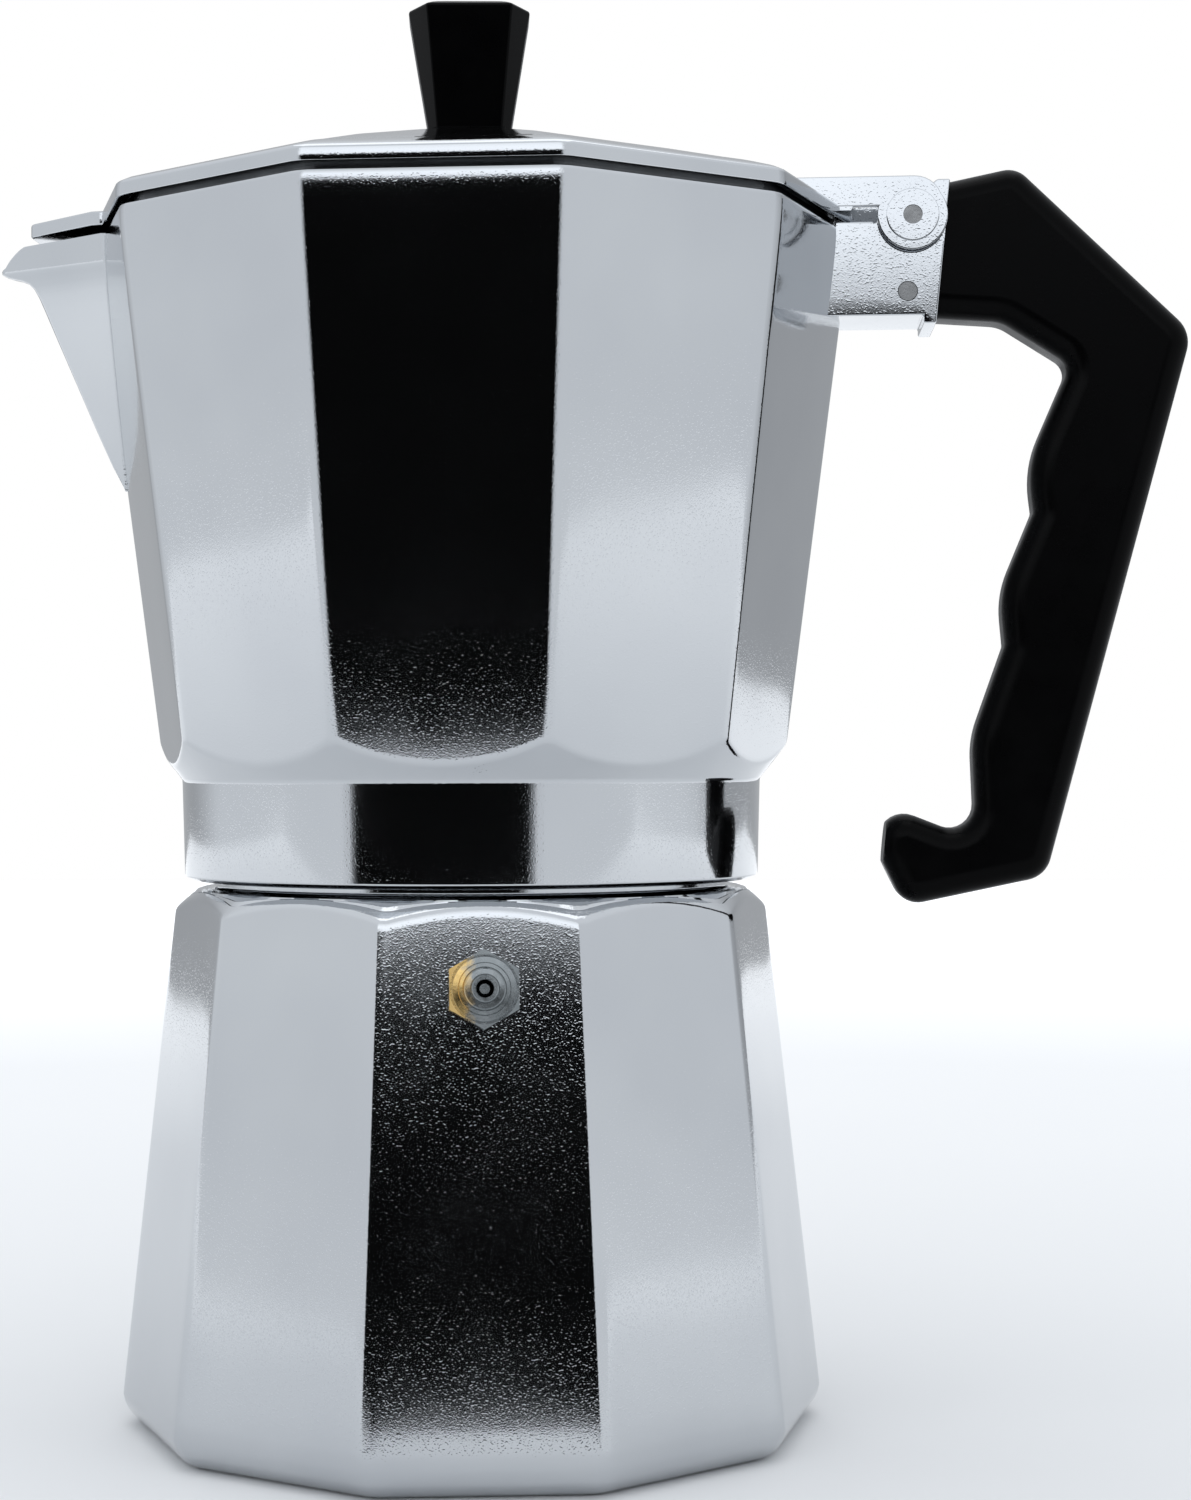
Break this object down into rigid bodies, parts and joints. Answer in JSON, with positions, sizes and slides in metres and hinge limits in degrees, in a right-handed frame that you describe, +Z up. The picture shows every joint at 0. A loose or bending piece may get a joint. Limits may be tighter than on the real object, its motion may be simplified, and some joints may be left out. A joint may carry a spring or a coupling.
{
  "type": "moka pot",
  "caption": "Ten-sided cast stovetop coffee maker: boiler with safety valve, funnel, screw-on jug with spout, hinged lid with knob, and a finger-shaped side handle.",
  "frame": {"origin": "centre of the boiler's flat base, on the pot's vertical axis", "axes": "+Z up, +X towards the handle, -X towards the spout, -Y towards the safety valve's side"},
  "size_m": [0.2078, 0.1278, 0.2492],
  "materials": {
    "cast_aluminium": "polished casting",
    "sheet_aluminium": "satin sheet",
    "brass": "turned",
    "steel": "drawn wire and turned pins",
    "silicone": "matte",
    "black_resin": "satin moulding"
  },
  "bodies": {
    "boiler_base": {"boiler": "cast_aluminium", "valve_body": "brass", "valve_washer": "sheet_aluminium", "valve_cap": "brass", "valve_spring": "steel"},
    "relief_plunger": {"valve_plunger": "brass", "valve_seal": "silicone"},
    "funnel_set": {"funnel": "sheet_aluminium", "funnel_sieve": "sheet_aluminium"},
    "seal_ring": {"gasket": "silicone"},
    "filter": {"filter_plate": "sheet_aluminium"},
    "jug_set": {"jug": "cast_aluminium", "handle": "black_resin", "handle_cross_pin": "steel", "hinge_pin": "steel"},
    "lid_set": {"lid": "cast_aluminium", "knob": "black_resin", "knob_insert": "brass", "knob_screw": "steel", "knob_washer": "steel"}
  },
  "joints": [
    {"name": "valve_travel", "type": "slide", "parent": "boiler_base", "child": "relief_plunger", "axis": [0.1281, -0.9862, 0.105], "range_m": [0, 0.0014], "stiffness_N_per_m": 700, "springref_m": -0.003, "deforming": ["valve_spring"]},
    {"name": "funnel_lift", "type": "slide", "parent": "boiler_base", "child": "funnel_set", "axis": [0, 0, 1], "range_m": [0, 0.1]},
    {"name": "screw_rise", "type": "slide", "parent": "funnel_set", "child": "seal_ring", "axis": [0, 0, 1], "range_m": [0, 0.006]},
    {"name": "screw_turn", "type": "hinge", "parent": "seal_ring", "child": "filter", "pos_m": [0, 0, 0.1], "axis": [0, 0, 1], "range_deg": [0, 540]},
    {"name": "jug_lift", "type": "slide", "parent": "filter", "child": "jug_set", "axis": [0, 0, 1], "range_m": [0, 0.04]},
    {"name": "lid_hinge", "type": "hinge", "parent": "jug_set", "child": "lid_set", "pos_m": [0.0769, 0, 0.2087], "axis": [0, 1, 0], "range_deg": [0, 105]}
  ],
  "couplings": [
    {"joint": "screw_rise", "follows": "screw_turn", "m_per_rad": 0.00063662}
  ]
}
